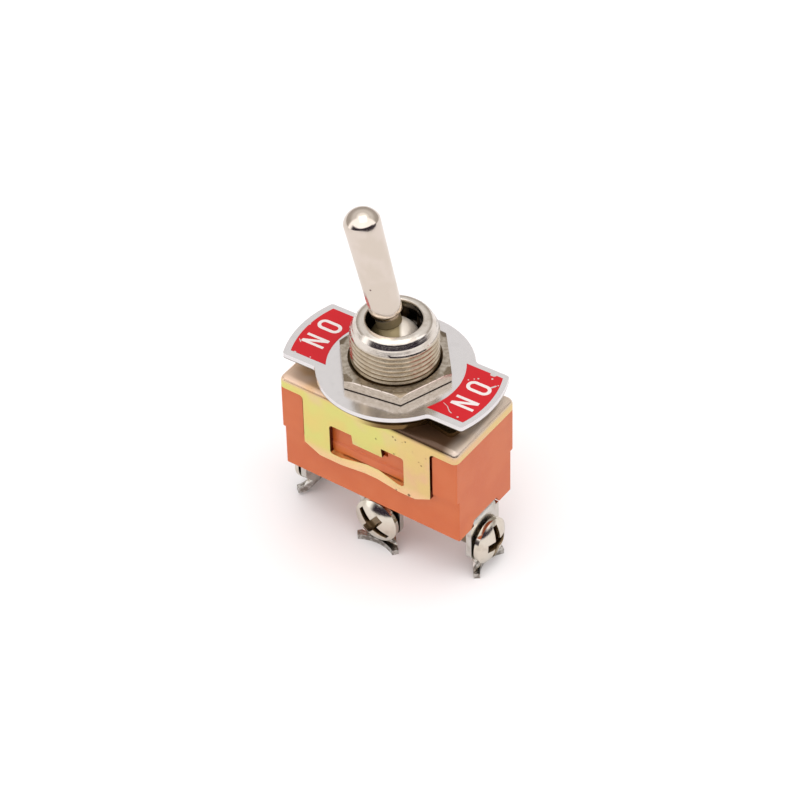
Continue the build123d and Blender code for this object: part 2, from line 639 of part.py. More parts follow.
for side, name in ((-1, "moving_contact_left"), (1, "moving_contact_right")):
    arm_axis = Axis(
        rocker_side.from_local_coords(Vector(side * CONTACT_X, 0, 0)), rocker_side.y_dir
    )
    contact_side = Plane(arm_axis.position, x_dir=rocker_side.x_dir, z_dir=rocker_side.z_dir)
    arm_top = ARM_RISE + ROCKER_STRIP / 2
    with BuildPart() as moving_contact:
        with BuildSketch(contact_side):
            with BuildLine():
                Line((0, ARM_BOTTOM - MOVING_HEAD), (0, arm_top + PEEN))
                Polyline(
                    (0, arm_top + PEEN),
                    (CONTACT_RADIUS - PEEN, arm_top + PEEN),
                    (CONTACT_RADIUS - PEEN, arm_top + SLIP),
                    (ARM_RIVET_RADIUS, arm_top + SLIP),
                    (ARM_RIVET_RADIUS, ARM_BOTTOM - SLIP),
                    (CONTACT_RADIUS, ARM_BOTTOM - SLIP),
                    (CONTACT_RADIUS, ARM_BOTTOM - MOVING_HEAD + DOME_RISE),
                )
                RadiusArc(
                    (CONTACT_RADIUS, ARM_BOTTOM - MOVING_HEAD + DOME_RISE),
                    (0, ARM_BOTTOM - MOVING_HEAD),
                    DOME_RADIUS,
                )
            make_face()
        revolve(axis=arm_axis)
    save(moving_contact.part, name)

# ---------------------------------------------------------------- fixed contacts and fulcrum
for side, name in ((-1, "fixed_contact_left"), (1, "fixed_contact_right")):
    rivet_axis = Axis((side * CONTACT_X, 0, 0), (0, 0, 1))
    with BuildPart() as fixed_contact:
        with BuildSketch(Plane((side * CONTACT_X, 0, 0), x_dir=(1, 0, 0), z_dir=(0, -1, 0))):
            with BuildLine():
                Polyline(
                    (0, FIXED_TOP),
                    (FIXED_RADIUS, FIXED_TOP),
                    (FIXED_RADIUS, -CAVITY_FLOOR),
                    (RIVET_RADIUS, -CAVITY_FLOOR),
                    (RIVET_RADIUS, LEG_BOTTOM - SLIP),
                    (PEEN_RADIUS, LEG_BOTTOM - SLIP),
                    (PEEN_RADIUS - PEEN / 2, LEG_BOTTOM - PEEN + SLIP),
                    (0, LEG_BOTTOM - PEEN + SLIP),
                    close=True,
                )
            make_face()
        revolve(axis=rivet_axis)
    save(fixed_contact.part, name)

with BuildPart() as fulcrum:
    with BuildSketch(Plane.XY.offset(-CAVITY_FLOOR)):
        Rectangle(FULCRUM_BASE, FULCRUM_LENGTH)
    extrude(amount=FULCRUM_BASE_HEIGHT)
    with BuildSketch(Plane.XZ):
        with Locations((0, TIPPING_AXIS)):
            Circle(FULCRUM_RADIUS)
        with Locations((0, TIPPING_AXIS)):
            Rectangle(2 * FULCRUM_RADIUS, ROCKER_RISE, align=(Align.CENTER, Align.MAX))
    extrude(amount=FULCRUM_LENGTH / 2, both=True)
    with BuildSketch(Plane.XZ):
        with BuildLine():
            Polyline(
                (0, -CAVITY_FLOOR),
                (RIVET_RADIUS, -CAVITY_FLOOR),
                (RIVET_RADIUS, LEG_BOTTOM - SLIP),
                (PEEN_RADIUS, LEG_BOTTOM - SLIP),
                (PEEN_RADIUS - PEEN / 2, LEG_BOTTOM - PEEN + SLIP),
                (0, LEG_BOTTOM - PEEN + SLIP),
                close=True,
            )
        make_face()
    revolve(axis=Axis.Z)
save(fulcrum.part, "fulcrum")

# ---------------------------------------------------------------- terminals and screws
for name, seat in SEATS.items():
    run = RIVET_RUNS[name]
    reach = FOOT_REACHES[name]
    eye_bottom = EYE_BOTTOM - PLATE_LIFTS[name]
    waist_depth = WAIST_DEPTH - PLATE_LIFTS[name]
    prong_depth = PRONG_DEPTH - PLATE_LIFTS[name]
    foot_depth = FOOT_DEPTH - PLATE_LIFTS[name]
    screw_depth = SCREW_DEPTH - PLATE_LIFTS[name]
    leg_middle = LEG_TOP - STRIP / 2
    front_plane = Plane(seat * Plane.YZ.location)
    side_plane = Plane(seat * Plane.XZ.location)
    with BuildPart() as terminal:
        # Side view: the leg in its groove, the plate, and the foot turned outwards
        with BuildSketch(side_plane):
            with BuildLine():
                FilletPolyline(
                    (-run - LEG_BEYOND_RIVET, leg_middle),
                    (-STRIP / 2, leg_middle),
                    (-STRIP / 2, -foot_depth + STRIP / 2),
                    (reach, -foot_depth + STRIP / 2),
                    radius=BEND_RADIUS,
                )
            trace(line_width=STRIP)
        extrude(amount=PRONG_SPREAD, both=True)
        # Front view: leg, round-shouldered eye, waist and spread prongs
        with BuildSketch(front_plane.offset(END_FACE)) as front:
            with BuildLine():
                Polyline(
                    (0, LEG_TOP),
                    (LEG_WIDTH / 2, LEG_TOP),
                    (LEG_WIDTH / 2, -SHOULDER_TOP),
                    (PLATE_EYE_WIDTH / 2, -SHOULDER_TOP),
                    (PLATE_EYE_WIDTH / 2, -eye_bottom),
                    (WAIST_WIDTH / 2, -waist_depth),
                    (PRONG_SPREAD / 2, -prong_depth),
                    (PRONG_SPREAD / 2, -foot_depth),
                    (0, -foot_depth),
                )
                mirror(about=Plane.YZ)
            make_face()
            corners = front.vertices()
            fillet(corners.filter_by(lambda v: abs(v.Y + eye_bottom) < 0.01), EYE_ROUNDING)
            fillet(corners.filter_by(lambda v: abs(v.Y + waist_depth) < 0.01), SHOULDER_ROUNDING)
            eye_tops = corners.filter_by(lambda v: abs(v.Y + SHOULDER_TOP) < 0.01)
            fillet(
                eye_tops.filter_by(lambda v: abs(v.X) > LEG_WIDTH / 2 + 0.01), SHOULDER_ROUNDING
            )
        extrude(amount=-2 * END_FACE, mode=Mode.INTERSECT)
        # Plan view: what is cut off the foot to leave the tips of a swallow-tail
        with BuildSketch(Plane(seat * Plane.XY.offset(-foot_depth).location)):
            with BuildLine():
                ThreePointArc(
                    (reach, -PRONG_OPENING / 2),
                    (reach - FOOT_HOLLOWS[name], 0),
                    (reach, PRONG_OPENING / 2),
                )
                Polyline(
                    (reach, PRONG_OPENING / 2),
                    (reach - PRONG_SETBACK, PRONG_SPREAD / 2),
                    (-STRIP, WAIST_WIDTH / 2),
                    (-STRIP, PRONG_SPREAD),
                    (reach + STRIP, PRONG_SPREAD),
                    (reach + STRIP, -PRONG_SPREAD),
                    (-STRIP, -PRONG_SPREAD),
                    (-STRIP, -WAIST_WIDTH / 2),
                    (reach - PRONG_SETBACK, -PRONG_SPREAD / 2),
                    (reach, -PRONG_OPENING / 2),
                )
            make_face()
        extrude(amount=foot_depth - waist_depth, mode=Mode.SUBTRACT)
        with BuildSketch(front_plane):
            with Locations((0, -screw_depth)):
                Circle(SCREW_RADIUS + RUNNING)
        extrude(amount=-2 * STRIP, mode=Mode.SUBTRACT)
        with Locations(seat * Location((-run, 0, leg_middle))):
            Cylinder(RIVET_RADIUS + RUNNING, 2 * STRIP, mode=Mode.SUBTRACT)
    save(terminal.part, f"terminal_{name}")

    # Pan-head screw with a slot through its cross
    screw_axis = Axis(front_plane.from_local_coords(Vector(0, -screw_depth, 0)), front_plane.z_dir)
    with BuildPart() as screw:
        with BuildSketch(side_plane):
            with BuildLine():
                Polyline(
                    (HEAD_GAP + HEAD_EDGE + HEAD_DOME, -screw_depth),
                    (-STRIP - SCREW_REACH, -screw_depth),
                    (-STRIP - SCREW_REACH, -screw_depth + SCREW_RADIUS),
                    (HEAD_GAP, -screw_depth + SCREW_RADIUS),
                    (HEAD_GAP, -screw_depth + HEAD_RADIUS),
                    (HEAD_GAP + HEAD_EDGE, -screw_depth + HEAD_RADIUS),
                )
                ThreePointArc(
                    (HEAD_GAP + HEAD_EDGE, -screw_depth + HEAD_RADIUS),
                    (HEAD_GAP + HEAD_EDGE + 0.77 * HEAD_DOME, -screw_depth + HEAD_RADIUS / 2),
                    (HEAD_GAP + HEAD_EDGE + HEAD_DOME, -screw_depth),
                )
            make_face()
        revolve(axis=screw_axis)
        with BuildSketch(front_plane.offset(HEAD_GAP + HEAD_EDGE + HEAD_DOME)):
            with Locations(Location((0, -screw_depth), SCREW_TURNS[name])):
                Rectangle(RECESS_SLOT, RECESS_SLOT_WIDTH)
                Rectangle(RECESS_CROSS_WIDTH, RECESS_CROSS)
        extrude(amount=-RECESS_DEPTH, taper=RECESS_TAPER, mode=Mode.SUBTRACT)
    save(screw.part, f"screw_{name}")
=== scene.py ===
"""A panel toggle switch with screw terminals, dressed over its solids.

Lengths are metres in the part's frame. The bushing stands on +Z, the case runs along X and the
centre terminal's screw faces -Y. Sizes that end in _MM are millimetres. A pair of them says
where a finish starts and where it is full.
"""

from math import cos, radians, sin, sqrt

import bpy
from mathutils import Matrix, Vector


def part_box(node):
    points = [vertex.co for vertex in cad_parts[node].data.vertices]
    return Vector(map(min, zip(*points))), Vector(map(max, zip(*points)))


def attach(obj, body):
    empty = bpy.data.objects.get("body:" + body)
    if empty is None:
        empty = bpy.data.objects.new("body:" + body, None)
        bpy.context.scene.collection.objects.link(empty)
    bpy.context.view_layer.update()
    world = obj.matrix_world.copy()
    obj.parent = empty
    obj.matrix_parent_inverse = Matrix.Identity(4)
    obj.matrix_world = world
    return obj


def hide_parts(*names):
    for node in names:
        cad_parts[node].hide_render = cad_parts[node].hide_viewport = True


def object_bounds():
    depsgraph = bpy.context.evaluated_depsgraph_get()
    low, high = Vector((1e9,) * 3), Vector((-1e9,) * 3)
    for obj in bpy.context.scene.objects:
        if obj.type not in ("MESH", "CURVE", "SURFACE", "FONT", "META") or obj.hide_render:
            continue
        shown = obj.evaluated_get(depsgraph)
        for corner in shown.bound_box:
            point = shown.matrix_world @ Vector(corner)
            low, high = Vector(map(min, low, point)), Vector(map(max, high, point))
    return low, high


MM = 0.001

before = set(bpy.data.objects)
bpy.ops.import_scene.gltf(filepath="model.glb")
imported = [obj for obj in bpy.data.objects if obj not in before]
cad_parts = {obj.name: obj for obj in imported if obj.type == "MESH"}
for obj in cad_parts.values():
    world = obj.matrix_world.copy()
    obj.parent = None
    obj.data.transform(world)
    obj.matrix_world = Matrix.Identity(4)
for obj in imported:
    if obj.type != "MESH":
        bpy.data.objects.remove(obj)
cad_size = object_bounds()


# ---------------------------------------------------------------- node trees as expressions
class Field:
    """A socket of a node tree, used as a number or a colour in Python expressions."""

    def __init__(self, bench, socket):
        self.bench = bench
        self.socket = socket

    def maths(self, operation, *values):
        inputs = dict(enumerate(values))
        return self.bench.node("ShaderNodeMath", {"operation": operation}, inputs)

    def __add__(self, other):
        return self.maths("ADD", self, other)

    def __radd__(self, other):
        return self.maths("ADD", other, self)

    def __sub__(self, other):
        return self.maths("SUBTRACT", self, other)

    def __rsub__(self, other):
        return self.maths("SUBTRACT", other, self)

    def __mul__(self, other):
        return self.maths("MULTIPLY", self, other)

    def __rmul__(self, other):
        return self.maths("MULTIPLY", other, self)

    def __truediv__(self, other):
        return self.maths("DIVIDE", self, other)

    def __pow__(self, other):
        return self.maths("POWER", self, other)

    def larger(self, other):
        return self.maths("MAXIMUM", self, other)

    def smaller(self, other):
        return self.maths("MINIMUM", self, other)

    def step(self, start, end):
        """0 at start, 1 at end, smooth between them. start may be the greater."""
        low, high = (start, end) if start < end else (end, start)
        ends = (0.0, 1.0) if start < end else (1.0, 0.0)
        settings = {"interpolation_type": "SMOOTHSTEP"}
        inputs = {0: self, 1: low, 2: high, 3: ends[0], 4: ends[1]}
        return self.bench.node("ShaderNodeMapRange", settings, inputs)

    def step_mm(self, pair_mm):
        """The same for a length, with start and end as a pair in millimetres."""
        return self.step(pair_mm[0] * MM, pair_mm[1] * MM)


class Bench:
    """One node tree and the few ways in which nodes are added to it."""

    def __init__(self, tree):
        self.tree = tree

    def node(self, kind, settings=None, inputs=None, output=0):
        """Adds a node, sets it up, then gives its sockets values or links."""
        made = self.tree.nodes.new(kind)
        for key, value in (settings or {}).items():
            setattr(made, key, value)
        for key, value in (inputs or {}).items():
            if isinstance(value, Field):
                self.tree.links.new(value.socket, made.inputs[key])
            else:
                made.inputs[key].default_value = value
        return Field(self, made.outputs[output])

    def other(self, field, output):
        """Another output of the node that a field came from."""
        return Field(self, field.socket.node.outputs[output])

    def mix(self, factor, first, second):
        """One colour laid over another by a factor."""
        inputs = {0: factor, 6: first, 7: second}
        return self.node("ShaderNodeMix", {"data_type": "RGBA"}, inputs, output=2)

    def vector(self, operation, *values, output=0):
        inputs = dict(enumerate(values))
        return self.node("ShaderNodeVectorMath", {"operation": operation}, inputs, output)

    def parts(self, vector):
        """The x, y and z of a vector."""
        x = self.node("ShaderNodeSeparateXYZ", None, {0: vector})
        return x, self.other(x, 1), self.other(x, 2)

    def place(self):
        """The point on the piece, in the part's frame."""
        return self.node("ShaderNodeTexCoord", output="Object")

    def facing(self):
        """The piece's own normal."""
        return self.node("ShaderNodeTexCoord", output="Normal")

    def cloud(self, size_mm, detail=2.0, stretch=(1, 1, 1), shift=0.0):
        """Soft noise with patches of about that size, around 0.5."""
        moved = self.node(
            "ShaderNodeMapping",
            None,
            {"Vector": self.place(), "Location": (shift, shift, shift), "Scale": stretch},
        )
        inputs = {"Vector": moved, "Scale": 1 / (size_mm * MM), "Detail": detail}
        return self.node("ShaderNodeTexNoise", None, inputs)

    def patches(self, size_mm, first, second, start=0.45, end=0.75, **look):
        """Two colours in soft patches of about that size."""
        return self.mix(self.cloud(size_mm, **look).step(start, end), first, second)

    def spot(self, place_mm, radius_mm, soft=0.35):
        """1 inside a small ball, 0 outside it."""
        centre = tuple(value * MM for value in place_mm)
        distance = self.vector("DISTANCE", self.place(), centre, output="Value")
        return distance.step(radius_mm * MM, radius_mm * MM * (1 - soft))

    def spots(self, places, radius_mm):
        """Several small balls."""
        mask = self.spot(places[0], radius_mm)
        for place in places[1:]:
            mask = mask.larger(self.spot(place, radius_mm))
        return mask

    def scratch(self, start_mm, end_mm, width_mm):
        """1 along a thin straight line, 0 beside it."""
        start = Vector(start_mm) * MM
        run = Vector(end_mm) * MM - start
        offset = self.vector("SUBTRACT", self.place(), tuple(start))
        share = self.vector("DOT_PRODUCT", offset, tuple(run / run.length_squared), output="Value")
        inputs = {0: tuple(run), "Scale": share.larger(0.0).smaller(1.0)}
        nearest = self.node("ShaderNodeVectorMath", {"operation": "SCALE"}, inputs)
        distance = self.vector("DISTANCE", offset, nearest, output="Value")
        return distance.step(width_mm * MM * 0.6, width_mm * MM * 0.4)

    def specks(self, size_mm, share):
        """Scattered grains of about that size, over a small share of the surface."""
        return self.cloud(size_mm, detail=0.0).step(1 - share, 1 - share + 0.04)

    def bump(self, height, depth_mm):
        """A relief from a height of 0 to 1, as deep as that."""
        inputs = {"Height": height, "Strength": 1.0, "Distance": depth_mm * MM}
        return self.node("ShaderNodeBump", None, inputs)


def tone(red, green, blue):
    """A colour from its 0 to 255 screen values."""

    def linear(value):
        value /= 255
        return value / 12.92 if value <= 0.04045 else ((value + 0.055) / 1.055) ** 2.4

    return (linear(red), linear(green), linear(blue), 1.0)


def finish_of(name, **sockets):
    """A material. Each socket is a value or a function of the bench of its tree."""
    material = bpy.data.materials.new(name)
    material.use_nodes = True
    bench = Bench(material.node_tree)
    shader = material.node_tree.nodes["Principled BSDF"]
    for socket, value in sockets.items():
        socket = socket.replace("_", " ").title().replace("Ior", "IOR")
        if callable(value):
            value = value(bench)
        if isinstance(value, Field):
            bench.tree.links.new(value.socket, shader.inputs[socket])
        else:
            shader.inputs[socket].default_value = value
    return material


# ---------------------------------------------------------------- finishes
# Where the finishes change, in the part's frame.
# Case: painted shade in the groove behind the crimp
CRIMP_IN_MM = (-6.2, -6.0)
CRIMP_FOOT_MM = (-11.8, -11.2)
CRIMP_TOP_MM = (-9.95, -10.1)
CRIMP_ENDS_MM = (4.2, 3.6)

# Bracket: green to cream along the flap, tan on top, with painted shade under the plate's tab
CREAM_X_MM = (1.0, 9.0)
CREAM_WANDER_MM = 12.0
FLAP_FOOT_MM = (-9.2, -10.8)
GREY_END_MM = (8.0, 13.5)
TOP_ROUND_MM = (-1.1, -0.4)
TOP_LEVEL_MM = (-0.6, -0.2)
TAB_SHADE_BACK_MM = (-2.5, -3.6)
TAB_SHADE_LEFT_MM = (1.0, 3.5)
TAB_SHADE_RIGHT_MM = (14.2, 11.8)
SHEARED_SHADE_FROM_MM = (-2.0, -2.4)
FLAP_FACE_MM = -6.95
FLAP_SPECK_MM = 0.16
FLAP_SPECKS_MM = (
    (1.5, -3.5),
    (4.3, -1.75),
    (4.7, -2.1),
    (6.3, -1.65),
    (4.4, -4.75),
    (8.8, -4.65),
)
FLAP_NICKS_MM = (
    (1.8, -10.95, 0.24),
    (2.8, -10.85, 0.208),
    (3.9, -11.1, 0.16),
    (4.6, -11.2, 0.176),
    (6.7, -11.05, 0.272),
    (7.4, -11.35, 0.16),
    (8.2, -11.3, 0.208),
    (8.7, -11.15, 0.192),
)

# Bushing: the rim's swells (start, end and height), the thread's top, and painted shade in its
# grooves and bore
RIM_SWELLS_MM = ((10.2, 10.9, 0.08), (10.68, 10.98, 0.05), (11.38, 11.82, 0.07))
THREAD_DULL_MM = (10.3, 9.9)
THREAD_GROOVE_SHADE_MM = (5.96, 5.8)
BORE_SHADE_MM = (3.8, 3.7)
BORE_SHADE_DOWN_MM = (11.7, 10.8)

# Nuts and plate: painted shadow in the seam between them, and the painted highlight on the upper
# nut's edge
SEAM_SHADE_TOP_MM = (3.98, 3.88)
SEAM_SHADE_FOOT_MM = (3.6, 3.7)
NUT_EDGE_HIGHLIGHT_MM = (5.18, 5.26)
PLATE_FOOT_SHADE_MM = (3.16, 3.1)

# Lever: balls about its pivot, which end the browner neck and the ball, a painted highlight on the
# ball, and a small pit
PIVOT_MM = (0.0, 0.0, 7.7)
SHOULDER_MM = 4.9
BALL_MM = 3.75
BALL_HIGHLIGHT_WAY = (0.81, 0.587)
BALL_HIGHLIGHT_MM = (0.5, 1.1)
LEVER_PIT_MM = (-2.08, -2.2, 17.3)
LEVER_PIT_SIZE_MM = 0.17

# Locating ring, where its painted shade starts, and the feet of the terminals
RING_SHADE_X_MM = (-1.0, 3.5)
FEET_MM = (-22.8, -23.8)

# Screws: the middle of each head's seat, and the form of the head
SCREW_CENTRES_MM = {
    "left": (-14.2, 0.0, -20.05),
    "centre": (0.0, -4.5, -20.5),
    "right": (14.2, 0.0, -20.5),
}
SCREW_HEAD_RISE_MM = 1.0
SCREW_HEAD_DOME_MM = 1.15
SCREW_HEAD_RADIUS_MM = 3.35
RECESS_SHADE_DEPTH_MM = (0.12, 0.42)

# Plate: its turn and its top, then worn-through spots (x, y, radius) and scratches (start, end,
# width), in the plate's own frame
PLATE_TURN = radians(1.89)
PLATE_TOP_MM = 3.78
PAINT_MM = 0.03
PAINT_SPOTS_MM = (
    (12.25, 5.12, 0.4),
    (12.0, 5.05, 0.34),
    (12.45, 4.31, 0.16),
    (10.85, 3.38, 0.15),
    (10.43, 3.05, 0.11),
    (9.86, 2.49, 0.12),
    (13.82, 3.58, 0.12),
    (12.55, -4.41, 0.17),
    (-14.35, 0.85, 0.24),
    (-12.8, -4.97, 0.24),
    (-10.45, -4.72, 0.12),
)
PAINT_SCRATCHES_MM = (
    ((13.15, 2.6), (13.6, 3.3), 0.26),
    ((9.5, -3.0), (10.3, -3.35), 0.09),
    ((10.3, -3.35), (11.0, -4.0), 0.12),
    ((11.0, -4.0), (11.4, -4.18), 0.14),
    ((-13.75, -2.4), (-13.3, -2.8), 0.12),
)


def on_plate(x, y):
    """A point of the plate's own frame, on the paint's top."""
    place = Vector((x, y, PLATE_TOP_MM + PAINT_MM))
    return tuple(Matrix.Rotation(PLATE_TURN, 3, "Z") @ place)


def case_plastic():
    """Orange moulding compound with a soft sheen, painted shade in the groove behind the crimp."""

    def colour(b):
        x, y, z = b.parts(b.place())
        orange = b.patches(5.0, tone(212, 98, 34), tone(216, 106, 44), 0.35, 0.65)
        # Painted shade: dark in the groove behind the crimp, where the bar's top edge shades it.
        groove = y.step_mm(CRIMP_IN_MM) * z.step_mm(CRIMP_FOOT_MM) * z.step_mm(CRIMP_TOP_MM)
        ends = (x * x).step(*((end * MM) ** 2 for end in CRIMP_ENDS_MM))
        return b.mix(groove * ends, orange, tone(64, 22, 12))

    return finish_of(
        "case_plastic",
        base_color=colour,
        roughness=lambda b: 0.34 + b.cloud(0.4) * 0.12,
        ior=1.6,
        normal=lambda b: b.bump(b.cloud(0.35, detail=3.0), 0.012),
    )


def chromate():
    """Yellow passivated steel: greenish gold that turns cream and pink in patches."""

    def flap(b, x, z):
        """Green at the left, cream at the right and paler at the foot."""
        green = b.patches(3.5, tone(230, 210, 126), tone(222, 218, 128), 0.35, 0.65, shift=0.3)
        pink = b.cloud(4.0, detail=1.0, shift=2.2).step(0.52, 0.75)
        green = b.mix(pink * 0.7, green, tone(232, 200, 160))
        cream = b.patches(3.4, tone(229, 199, 133), tone(231, 191, 145), 0.38, 0.64, shift=0.7)
        along = (x + (b.cloud(5.0) - 0.5) * (CREAM_WANDER_MM * MM)).step_mm(CREAM_X_MM)
        face = b.mix(along, green, cream)
        return b.mix(z.step_mm(FLAP_FOOT_MM) * 0.8, face, tone(246, 204, 158))

    def top(b, x, y):
        """Tan, greyer at its right end, with painted shade where it reflects the dark underside of
        the tab.
        """
        tan = b.patches(4.0, tone(228, 184, 136), tone(230, 198, 172), 0.4, 0.65, shift=1.1)
        tan = b.mix(x.step_mm(GREY_END_MM) * 0.7, tan, tone(208, 198, 186))
        # Painted shade: the dark reflection of the plate's underside on the bracket's top.
        stain = y.step_mm(TAB_SHADE_BACK_MM) * x.step_mm(TAB_SHADE_LEFT_MM) * x.step_mm(TAB_SHADE_RIGHT_MM)
        uneven = b.cloud(2.2, shift=1.6).step(0.25, 0.4)
        return b.mix(stain * uneven, tan, tone(92, 66, 46))

    def colour(b):
        x, y, z = b.parts(b.place())
        across, _, _ = b.parts(b.facing())
        face = b.mix(z.step_mm(TOP_ROUND_MM), flap(b, x, z), top(b, x, y))
        # Painted shade on the sheared edges that face along x, below the top.
        sheared_edge_shade = (across * across).step(0.4, 0.7) * z.step_mm(SHEARED_SHADE_FROM_MM)
        face = b.mix(sheared_edge_shade, face, tone(84, 40, 26))
        marks = b.spots([(u, FLAP_FACE_MM, v) for u, v in FLAP_SPECKS_MM], FLAP_SPECK_MM)
        for u, v, size in FLAP_NICKS_MM:
            marks = marks.larger(b.spot((u, FLAP_FACE_MM, v), size))
        face = b.mix(marks * 0.8, face, tone(70, 50, 36))
        return b.mix(b.specks(0.4, 0.14), face, tone(160, 136, 86))

    def level(b):
        """1 on the level top, which is duller."""
        _, _, z = b.parts(b.place())
        return z.step_mm(TOP_LEVEL_MM)

    return finish_of(
        "chromate",
        base_color=colour,
        metallic=lambda b: 0.85 - level(b) * 0.55,
        roughness=lambda b: 0.12 + b.cloud(1.5) * 0.12 + level(b) * 0.12,
        normal=lambda b: b.bump(b.cloud(0.5, detail=3.0), 0.003),
    )


def plated(name, colour, worn, roughness, grain_mm=0.4, relief_mm=0.004):
    """Plated metal with a fine grain: worn is the colour of its darker patches."""
    return finish_of(
        name,
        base_color=lambda b: b.patches(1.2, colour, worn, detail=4.0),
        metallic=1.0,
        roughness=lambda b: roughness + (b.cloud(0.8) - 0.5) * 0.1,
        normal=lambda b: b.bump(b.cloud(grain_mm, detail=3.0), relief_mm),
    )


def bushing_nickel():
    """Bright on the slightly rounded rim, duller on the thread, with painted shade in its grooves
    and bore.
    """

    def colour(b):
        x, y, z = b.parts(b.place())
        radius = (x * x + y * y) ** 0.5
        thread = z.step_mm(THREAD_DULL_MM)
        bright = b.patches(1.5, tone(226, 218, 208), tone(208, 198, 186), 0.45, 0.7, detail=3.0)
        dull = b.patches(0.9, tone(196, 182, 160), tone(178, 162, 138), 0.4, 0.7, detail=4.0)
        metal = b.mix(thread, bright, dull)
        # Painted shade down in the thread's grooves.
        metal = b.mix(thread * radius.step_mm(THREAD_GROOVE_SHADE_MM), metal, tone(160, 144, 120))
        # Painted shade inside the bore.
        inside = radius.step_mm(BORE_SHADE_MM) * z.step_mm(BORE_SHADE_DOWN_MM)
        return b.mix(inside, metal, tone(86, 70, 50))

    def relief(b):
        _, _, z = b.parts(b.place())
        height = b.cloud(0.3, detail=3.0) * 0.005
        for start, end, rise in RIM_SWELLS_MM:
            height = height + z.step_mm((start, end)) * rise
        return b.bump(height, 1.0)

    return finish_of(
        "bushing_nickel",
        base_color=colour,
        metallic=1.0,
        roughness=lambda b: 0.18 + (b.cloud(0.6) - 0.5) * 0.16,
        normal=relief,
    )


def nut_nickel():
    """Dull plating with drawn marks, a painted highlight on the upper edge and painted shadow at
    the foot.
    """

    def colour(b):
        _, _, z = b.parts(b.place())
        _, _, up = b.parts(b.facing())
        drawn = {"detail": 4.0, "stretch": (1, 1, 5)}
        metal = b.patches(0.5, tone(196, 186, 172), tone(162, 150, 134), 0.35, 0.7, **drawn)
        # Painted shade: the upward chamfers darkened for the dark reflection they show.
        chamfer_shade = up.step(0.2, 0.3) * up.step(0.99, 0.98)
        metal = b.mix(chamfer_shade, metal, tone(132, 118, 100))
        # Painted highlight along the upper edge of the nut's sides.
        edge = z.step_mm(NUT_EDGE_HIGHLIGHT_MM) * up.step(0.6, 0.4)
        edge = edge * b.cloud(0.6, detail=2.0).step(0.3, 0.5)
        metal = b.mix(edge, metal, tone(236, 226, 214))
        # Painted shadow in the seam where the nut sits on the plate.
        seam = z.step_mm(SEAM_SHADE_TOP_MM) * z.step_mm(SEAM_SHADE_FOOT_MM)
        return b.mix(seam, metal, tone(44, 36, 32))

    return finish_of(
        "nut_nickel",
        base_color=colour,
        metallic=1.0,
        roughness=lambda b: 0.3 + (b.cloud(0.6) - 0.5) * 0.16,
        normal=lambda b: b.bump(b.cloud(0.3, detail=4.0, stretch=(1, 1, 3)), 0.012),
    )


def lever_nickel():
    """Satin nickel on the handle, browner on the neck, darker on the ball, with a painted
    highlight on one side.
    """

    def low(b):
        """1 below the handle's shoulder."""
        return b.spot(PIVOT_MM, SHOULDER_MM, soft=0.06)

    def colour(b):
        x, y, _ = b.parts(b.place())
        handle = b.patches(3.0, tone(222, 210, 199), tone(216, 204, 191), 0.4, 0.6)
        ball = b.spot(PIVOT_MM, BALL_MM, soft=0.03)
        # Below the shoulder: a browner neck and a darker ball.
        neck = b.mix(b.cloud(1.2), tone(176, 158, 122), tone(146, 128, 94))
        worn = b.mix(ball, neck, tone(118, 104, 72))
        # Painted highlight on the side of the ball that faces this way.
        aside = x * BALL_HIGHLIGHT_WAY[0] + y * BALL_HIGHLIGHT_WAY[1]
        worn = b.mix(aside.step_mm(BALL_HIGHLIGHT_MM) * ball, worn, tone(236, 226, 212))
        metal = b.mix(low(b), handle, worn)
        return b.mix(b.spot(LEVER_PIT_MM, LEVER_PIT_SIZE_MM), metal, tone(110, 84, 86))

    return finish_of(
        "lever_nickel",
        base_color=colour,
        metallic=lambda b: 1.0 - low(b) * 0.5,
        roughness=lambda b: 0.15 + low(b) * 0.15,
        normal=lambda b: b.bump(b.cloud(1.0, detail=3.0), 0.001),
    )


def ring_chromate():
    """The bracket's yellow on the front of the ring, with painted shade towards its ear."""

    def colour(b):
        x, _, _ = b.parts(b.place())
        yellow = b.patches(3.0, tone(232, 214, 134), tone(230, 208, 140), 0.4, 0.6)
        # Painted shade on the ring towards +x, under the plate.
        return b.mix(x.step_mm(RING_SHADE_X_MM), yellow, tone(120, 92, 56))

    return finish_of("ring_chromate", base_color=colour, metallic=0.85, roughness=0.22)


def plate_chrome():
    """Bright, with a painted shade line round the foot of its edge."""

    def colour(b):
        _, _, z = b.parts(b.place())
        bright = b.patches(1.2, tone(233, 230, 230), tone(229, 226, 226), detail=4.0)
        # Painted shade round the foot of the plate's edge.
        return b.mix(z.step_mm(PLATE_FOOT_SHADE_MM), bright, tone(96, 84, 70))

    return finish_of(
        "plate_chrome",
        base_color=colour,
        metallic=1.0,
        roughness=0.2,
        normal=lambda b: b.bump(b.cloud(1.0, detail=3.0), 0.001),
    )


